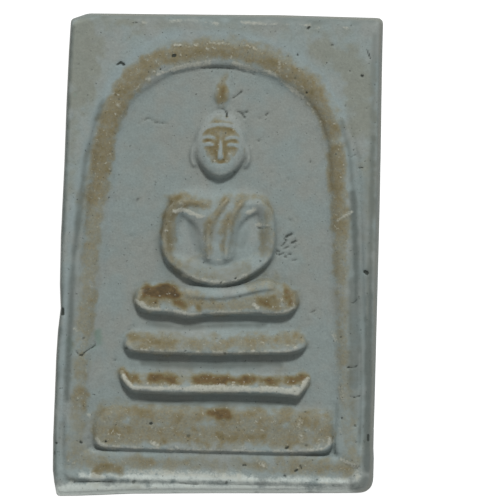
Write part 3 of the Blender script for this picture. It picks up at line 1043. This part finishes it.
    def close_back(self, bm: bmesh.types.BMesh, ring: list, ring_edges: list) -> None:
        """Closes the underside with a slightly hollow, uneven sheet.

        Args:
            bm: mesh with face and sides.
            ring: vertices of the lowest ring.
            ring_edges: edges of the lowest ring.
        """
        sheet = bmesh.ops.create_grid(
            bm, x_segments=self.back_columns, y_segments=self.back_rows, size=1.0
        )["verts"]
        u = np.linspace(0, 1, self.back_columns + 1)
        v = np.linspace(0, 1, self.back_rows + 1)
        x, y = self.sheet_points(u, v, FOOT_LEVEL)
        keep_x = 1 - self.back_inset / np.abs(x).max()
        keep_y = 1 - self.back_inset / np.abs(y).max()
        x, y = x * keep_x, y * keep_y
        canvas = self.relief.canvas
        broad, narrow = (canvas.sample(canvas.cloud(*cloud), x, y) for cloud in ((2.4, 21), (0.8, 22)))
        wave = 0.5 + 0.22 * broad + 0.12 * narrow
        su, sv = np.sin(math.pi * u)[None, :], np.sin(math.pi * v)[:, None]
        rise = np.clip(4 * np.minimum(su, sv), 0, 1)
        z = self.back_hollow * rise * np.clip(wave, 0, None)
        for vert in sheet:
            c = int(round((vert.co.x + 1) / 2 * self.back_columns))
            r = int(round((vert.co.y + 1) / 2 * self.back_rows))
            vert.co = (x[r, c], y[r, c], z[r, c])
        faces = {f for vert in sheet for f in vert.link_faces}
        bmesh.ops.reverse_faces(bm, faces=list(faces))
        border = list({e for vert in sheet for e in vert.link_edges if e.is_boundary})
        bmesh.ops.bridge_loops(bm, edges=list(ring_edges) + border)

    def add_attributes(self, mesh: bpy.types.Mesh) -> None:
        """Gives every vertex its share of each stain, and tells face from side and back.

        Shade and chalk reach down over the rounded edge. The other stains stay on the face.

        Args:
            mesh: the closed tablet, in metres.
        """
        co = np.zeros(len(mesh.vertices) * 3)
        mesh.vertices.foreach_get("co", co)
        x, y, z = co.reshape(-1, 3).T / MM
        share = z / self.relief.rim
        on_face = np.clip((share - 0.80) / 0.14, 0, 1)
        on_edge = np.clip((share - 0.30) / 0.30, 0, 1)
        for name, sheet in self.relief.masks.items():
            reach = on_edge if name in (Stain.SHADE.value, Stain.CHALK.value) else on_face
            values = self.relief.canvas.sample(sheet, x, y) * reach
            layer = mesh.attributes.new(name, "FLOAT", "POINT")
            layer.data.foreach_set("value", values.astype(np.float32))
        chalk = self.relief.canvas.sample(self.relief.masks[Stain.CHALK.value], x, y)
        chalky = np.clip(chalk, 0, 1) * on_edge
        layer = mesh.attributes.new("off_face", "FLOAT", "POINT")
        layer.data.foreach_set("value", ((1 - on_face) * (1 - chalky)).astype(np.float32))


Colour = tuple[float, float, float]


def linear(red: int, green: int, blue: int, gain: float = 1.0) -> tuple[float, float, float, float]:
    """A display colour from 0 to 255 as the linear colour that the shader takes."""
    out = []
    for level in (red, green, blue):
        share = level / 255
        share = share / 12.92 if share <= 0.04045 else ((share + 0.055) / 1.055) ** 2.4
        out.append(min(share * gain, 1.0))
    return (out[0], out[1], out[2], 1.0)


@dataclass(frozen=True)
class AgedPlaster:
    """Aged, oiled lime plaster with ochre patina, cream worn crests and dark cracks."""

    gain: float = 0.98
    field_blue: Colour = (131, 142, 140)
    field_pink: Colour = (134, 140, 136)
    warm_grey: Colour = (125, 129, 119)
    cool_blue: Colour = (133, 146, 147)
    wash: Colour = (122, 122, 107)
    ochre_pale: Colour = (118, 112, 90)
    ochre: Colour = (106, 98, 71)
    amber: Colour = (97, 80, 52)
    umber: Colour = (72, 61, 42)
    cream: Colour = (166, 168, 157)
    chalk: Colour = (190, 198, 192)
    green: Colour = (104, 126, 116)
    shade: Colour = (84, 92, 88)
    dirt: Colour = (44, 50, 45)
    side_grey: Colour = (108, 115, 110)
    back_tan: Colour = (115, 117, 107)
    roughness: float = 0.82
    gloss: float = 0.22

    def material(self) -> bpy.types.Material:
        """Builds the node tree."""
        return PlasterNodes(self).build()


class PlasterNodes:
    """Builds the shader of the plaster, node by node."""

    def __init__(self, finish: AgedPlaster) -> None:
        """Starts an empty tree for the finish."""
        self.finish = finish
        self.material = bpy.data.materials.new("aged_plaster")
        self.material.use_nodes = True
        self.tree = self.material.node_tree
        self.tree.nodes.clear()
        where = self.tree.nodes.new("ShaderNodeTexCoord")
        scale = self.tree.nodes.new("ShaderNodeMapping")
        scale.inputs["Scale"].default_value = (1 / MM,) * 3
        self.tree.links.new(where.outputs["Object"], scale.inputs["Vector"])
        self.where = scale.outputs["Vector"]

    def attribute(self, name: str) -> bpy.types.NodeSocket:
        """The value of a vertex attribute."""
        node = self.tree.nodes.new("ShaderNodeAttribute")
        node.attribute_name = name
        return node.outputs["Fac"]

    def noise(self, size: float, detail: float, rough: float, shift: float = 0.0) -> bpy.types.NodeSocket:
        """Noise with features of a size in millimetres.

        Args:
            size: size of the largest features.
            detail: how many finer layers lie over it.
            rough: strength of each finer layer.
            shift: moves the pattern, so that no two are alike.

        Returns:
            A socket from 0 to 1.
        """
        node = self.tree.nodes.new("ShaderNodeTexNoise")
        node.inputs["Scale"].default_value = 1 / size
        node.inputs["Detail"].default_value = detail
        node.inputs["Roughness"].default_value = rough
        where = self.where
        if shift:
            move = self.tree.nodes.new("ShaderNodeVectorMath")
            move.operation = "ADD"
            move.inputs[1].default_value = (shift, -shift, shift / 2)
            self.tree.links.new(self.where, move.inputs[0])
            where = move.outputs["Vector"]
        self.tree.links.new(where, node.inputs["Vector"])
        return node.outputs["Fac"]

    def math(self, operation: str, *values: object, clamp: bool = False) -> bpy.types.NodeSocket:
        """One step of arithmetic on sockets or plain numbers.

        Args:
            operation: name of the step, as the node has it.
            values: its inputs in order.
            clamp: keeps the result between 0 and 1.

        Returns:
            The result as a socket.
        """
        node = self.tree.nodes.new("ShaderNodeMath")
        node.operation = operation
        node.use_clamp = clamp
        for i, value in enumerate(values):
            if isinstance(value, (int, float)):
                node.inputs[i].default_value = value
            else:
                self.tree.links.new(value, node.inputs[i])
        return node.outputs["Value"]

    def ramp(
        self, value: bpy.types.NodeSocket, low: float, high: float, top: float = 1.0
    ) -> bpy.types.NodeSocket:
        """Rises smoothly from 0 at low to top at high.

        Args:
            value: the socket that drives it.
            low: where it starts to rise.
            high: where it is full.
            top: its full height.

        Returns:
            The result as a socket.
        """
        node = self.tree.nodes.new("ShaderNodeMapRange")
        node.interpolation_type = "SMOOTHSTEP"
        node.inputs["From Min"].default_value = low
        node.inputs["From Max"].default_value = high
        node.inputs["To Max"].default_value = top
        self.tree.links.new(value, node.inputs["Value"])
        return node.outputs["Result"]

    def mix(self, share: object, a: object, b: object, blend: str = "MIX") -> bpy.types.NodeSocket:
        """Mixes two colours.

        Args:
            share: how much of the second colour, from 0 to 1.
            a: first colour.
            b: second colour.
            blend: name of the blend, as the node has it.

        Returns:
            The mixed colour as a socket.
        """
        node = self.tree.nodes.new("ShaderNodeMix")
        node.data_type = "RGBA"
        node.blend_type = blend
        for socket, value in ((node.inputs[0], share), (node.inputs[6], a), (node.inputs[7], b)):
            if isinstance(value, (int, float, tuple)):
                socket.default_value = value
            else:
                self.tree.links.new(value, socket)
        return node.outputs[2]

    def colour(self, tone: Colour) -> tuple[float, float, float, float]:
        """A tone of the finish as a linear colour."""
        return linear(*tone, gain=self.finish.gain)

    def speckled(
        self,
        name: str,
        blotch: bpy.types.NodeSocket,
        grain: bpy.types.NodeSocket,
        bites: tuple[float, float],
        span: tuple[float, float],
    ) -> bpy.types.NodeSocket:
        """A stain's mask, broken up by blotches and grain.

        Args:
            name: attribute with the soft mask.
            blotch: broad noise from 0 to 1.
            grain: fine noise from 0 to 1.
            bites: how strongly blotch and grain eat into the mask.
            span: where the stain starts and where it covers fully.

        Returns:
            A socket from 0 to 1.
        """
        mask = self.attribute(name)
        pushed = self.math("ADD", mask, self.math("MULTIPLY_ADD", blotch, bites[0], -bites[0] / 2))
        pushed = self.math("ADD", pushed, self.math("MULTIPLY_ADD", grain, bites[1], -bites[1] / 2))
        return self.math("MULTIPLY", self.ramp(pushed, *span), self.ramp(mask, 0.02, 0.25))

    def filmed(
        self, base: bpy.types.NodeSocket, blotch: bpy.types.NodeSocket, grain: bpy.types.NodeSocket
    ) -> bpy.types.NodeSocket:
        """Lays the brown film over a colour: the deeper the film, the darker its tone.

        Args:
            base: colour of the bare plaster.
            blotch: broad noise from 0 to 1.
            grain: fine noise from 0 to 1.

        Returns:
            The stained colour.
        """
        f = self.finish
        film = self.attribute("film")
        patch = self.noise(1.1, 4.0, 0.62, 41.0)
        move = self.math("MULTIPLY_ADD", blotch, 0.62, -0.31)
        move = self.math("ADD", move, self.math("MULTIPLY_ADD", patch, 0.50, -0.25))
        move = self.math("ADD", move, self.math("MULTIPLY_ADD", grain, 0.26, -0.13))
        move = self.math("MULTIPLY", move, self.ramp(film, 0.02, 0.30))
        depth = self.math("ADD", film, move)
        for low, high, tone in (
            (0.04, 0.30, f.wash),
            (0.26, 0.48, f.ochre_pale),
            (0.42, 0.64, f.ochre),
            (0.62, 0.82, f.amber),
            (0.80, 1.04, f.umber),
        ):
            base = self.mix(self.ramp(depth, low, high, 0.95), base, self.colour(tone))
        fleck = self.ramp(self.noise(0.30, 2.0, 0.6, 31.0), 0.62, 0.74, 0.55)
        return self.mix(self.math("MULTIPLY", fleck, self.ramp(film, 0.08, 0.40)), base, self.colour(f.cream))

    def build(self) -> bpy.types.Material:
        """Lays the colours over each other and adds roughness and bump."""
        f = self.finish
        grain = self.noise(0.16, 3.0, 0.6)
        blotch = self.noise(0.55, 3.0, 0.6, 5.0)
        clouds = self.noise(2.6, 3.0, 0.55, 11.0)
        dust = self.noise(0.07, 2.0, 0.6, 17.0)

        base = self.mix(self.ramp(clouds, 0.40, 0.64), self.colour(f.field_blue), self.colour(f.field_pink))
        base = self.mix(self.ramp(self.attribute("warm"), 0.1, 0.9, 0.9), base, self.colour(f.warm_grey))
        base = self.mix(self.ramp(self.attribute("cool"), 0.1, 0.9, 0.8), base, self.colour(f.cool_blue))
        green = self.speckled("green", blotch, grain, (0.5, 0.3), (0.2, 0.9))
        base = self.mix(green, base, self.colour(f.green))

        chalk = self.speckled("chalk", blotch, grain, (0.7, 0.6), (0.10, 0.95))
        base = self.mix(self.math("MULTIPLY", chalk, 0.85), base, self.colour(f.chalk))
        base = self.filmed(base, blotch, grain)
        shade = self.speckled("shade", blotch, grain, (0.4, 0.4), (0.05, 0.95))
        base = self.mix(self.math("MULTIPLY", shade, 0.85), base, self.colour(f.shade))

        crest_tone = self.ramp(self.attribute("crest"), 0.40, 1.0, 0.24)
        crest_tone = self.math("MULTIPLY", crest_tone, self.ramp(blotch, 0.40, 0.62))
        base = self.mix(crest_tone, base, self.colour(f.cream))
        cream = self.speckled("cream", blotch, grain, (1.0, 0.9), (0.30, 1.00))
        base = self.mix(self.math("MULTIPLY", cream, 0.80), base, self.colour(f.cream))

        hollow = self.ramp(self.attribute("hollow"), 0.25, 1.0, 0.22)
        base = self.mix(hollow, base, self.colour(f.dirt))

        back = self.attribute("off_face")
        side_tone = self.mix(self.ramp(clouds, 0.28, 0.76), self.colour(f.side_grey), self.colour(f.back_tan))
        base = self.mix(self.math("MULTIPLY", back, 0.85), base, side_tone)

        speck = self.ramp(self.noise(0.22, 2.0, 0.5, 23.0), 0.68, 0.76, 0.6)
        base = self.mix(speck, base, self.colour(f.dirt))
        frayed = self.math("ADD", self.attribute("crack"), self.math("MULTIPLY_ADD", dust, 0.3, -0.15))
        crack = self.ramp(frayed, 0.22, 0.62, 0.92)
        pit = self.ramp(self.attribute("pit"), 0.2, 0.8, 0.5)
        base = self.mix(self.math("MAXIMUM", crack, pit), base, self.colour(f.dirt))

        grained = self.math("SUBTRACT", grain, 0.5)
        swing = self.math("MULTIPLY_ADD", self.ramp(self.attribute("film"), 0.05, 0.35), 0.42, 0.40)
        tint = self.math("MULTIPLY_ADD", grained, swing, 1.0)
        tint = self.math("MULTIPLY", tint, self.math("MULTIPLY_ADD", blotch, 0.24, 0.88))
        tint_colour = self.tree.nodes.new("ShaderNodeCombineColor")
        for name in ("Red", "Green", "Blue"):
            self.tree.links.new(tint, tint_colour.inputs[name])
        base = self.mix(1.0, base, tint_colour.outputs["Color"], "MULTIPLY")

        bump_height = self.math("MULTIPLY", grain, 0.022)
        for step, source, height in (
            ("ADD", dust, 0.010),
            ("ADD", blotch, 0.020),
            ("SUBTRACT", crack, 0.05),
            ("SUBTRACT", speck, 0.03),
        ):
            bump_height = self.math(step, bump_height, self.math("MULTIPLY", source, height))
        bump = self.tree.nodes.new("ShaderNodeBump")
        bump.inputs["Distance"].default_value = MM
        bump.inputs["Strength"].default_value = 0.9
        self.tree.links.new(bump_height, bump.inputs["Height"])

        shader = self.tree.nodes.new("ShaderNodeBsdfPrincipled")
        shader.inputs["Specular IOR Level"].default_value = f.gloss
        rough = self.math("MULTIPLY_ADD", blotch, 0.16, f.roughness - 0.08, clamp=True)
        self.tree.links.new(rough, shader.inputs["Roughness"])
        self.tree.links.new(base, shader.inputs["Base Color"])
        self.tree.links.new(bump.outputs["Normal"], shader.inputs["Normal"])
        out = self.tree.nodes.new("ShaderNodeOutputMaterial")
        self.tree.links.new(shader.outputs["BSDF"], out.inputs["Surface"])
        return self.material


@dataclass(frozen=True)
class Studio:
    """Floor, lights and camera of the photograph.

    The lens is long, to look straight down on the outline, but under about 1700 mm: a view round the
    tablet stands off in step with the lens and cuts off at 100 radii, so a longer lens shows nothing.
    """

    picture_middle: Point = (2.345, 0.575)
    picture_width: float = 37.42
    lean_degrees: float = 1.5
    lens: float = 1500.0
    sensor: float = 36.0
    floor_half: float = 1.2
    floor_gap: float = 0.00003
    world_light: float = 0.40
    key_power: float = 3.1
    key_size: float = 0.11
    key_distance: float = 0.62
    key_elevation: float = 48.0
    key_turn: float = 6.0
    floor_grey: float = 0.18
    floor_glow: float = 0.97

    def floor(self) -> None:
        """A plain pale floor just under the tablet, declared as stage."""
        bm = bmesh.new()
        bmesh.ops.create_grid(bm, x_segments=1, y_segments=1, size=self.floor_half)
        bmesh.ops.translate(bm, verts=bm.verts, vec=(0, 0, -self.floor_gap))
        mesh = bpy.data.meshes.new("studio_floor")
        bm.to_mesh(mesh)
        bm.free()
        board = bpy.data.objects.new("studio_floor", mesh)
        bpy.context.scene.collection.objects.link(board)
        paint = bpy.data.materials.new("pale_board")
        paint.use_nodes = True
        shader = paint.node_tree.nodes["Principled BSDF"]
        shader.inputs["Base Color"].default_value = (self.floor_grey,) * 3 + (1.0,)
        shader.inputs["Roughness"].default_value = 0.9
        shader.inputs["Specular IOR Level"].default_value = 0.1
        shader.inputs["Emission Color"].default_value = (1.0, 1.0, 1.0, 1.0)
        shader.inputs["Emission Strength"].default_value = self.floor_glow
        mesh.materials.append(paint)

    def lights(self) -> None:
        """A soft key light from beyond the head, and an even pale sky."""
        world = bpy.data.worlds.new("studio_sky")
        world.use_nodes = True
        sky = world.node_tree.nodes["Background"]
        sky.inputs["Color"].default_value = (1.0, 1.0, 1.0, 1.0)
        sky.inputs["Strength"].default_value = self.world_light
        bpy.context.scene.world = world
        lamp = bpy.data.lights.new("soft_key", "AREA")
        lamp.shape = "DISK"
        lamp.size = self.key_size
        lamp.energy = self.key_power
        key = bpy.data.objects.new("soft_key", lamp)
        rise, turn = math.radians(self.key_elevation), math.radians(self.key_turn)
        way = Vector((math.sin(turn) * math.cos(rise), math.cos(turn) * math.cos(rise), math.sin(rise)))
        key.location = way * self.key_distance
        key.rotation_euler = (-way).to_track_quat("-Z", "Y").to_euler()
        bpy.context.scene.collection.objects.link(key)

    def camera(self, level: float) -> None:
        """A long lens straight over the picture's middle.

        Args:
            level: height of the rim, at which the picture's width is true, in millimetres.
        """
        data = bpy.data.cameras.new("long_lens")
        data.lens = self.lens
        data.sensor_width = self.sensor
        camera = bpy.data.objects.new("long_lens", data)
        distance = self.picture_width * self.lens / self.sensor
        camera.location = Vector((*self.picture_middle, level + distance)) * MM
        camera.rotation_euler = (0, 0, math.radians(self.lean_degrees))
        bpy.context.scene.collection.objects.link(camera)
        bpy.context.scene.camera = camera

    def build(self, level: float) -> None:
        """Sets up floor, lights and camera, and plain display colours."""
        self.floor()
        self.lights()
        self.camera(level)
        bpy.context.scene.view_settings.view_transform = "Standard"
        bpy.context.scene.view_settings.look = "None"


def main() -> None:
    """Builds the tablet and the studio, and reports what was made."""
    relief = PressedRelief(Canvas(), Patina(), Wear())
    log.info("relief read: rim at %.2f mm, highest at %.2f mm", relief.rim, relief.height.max())
    body = TabletBody(relief).build()
    body.data.materials.append(AgedPlaster().material())
    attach(body, "root")
    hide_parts(NODE)
    body.data.calc_loop_triangles()
    log.info("tablet_body: %d triangles", len(body.data.loop_triangles))
    Studio().build(relief.rim)


if __name__ == "__main__":
    main()
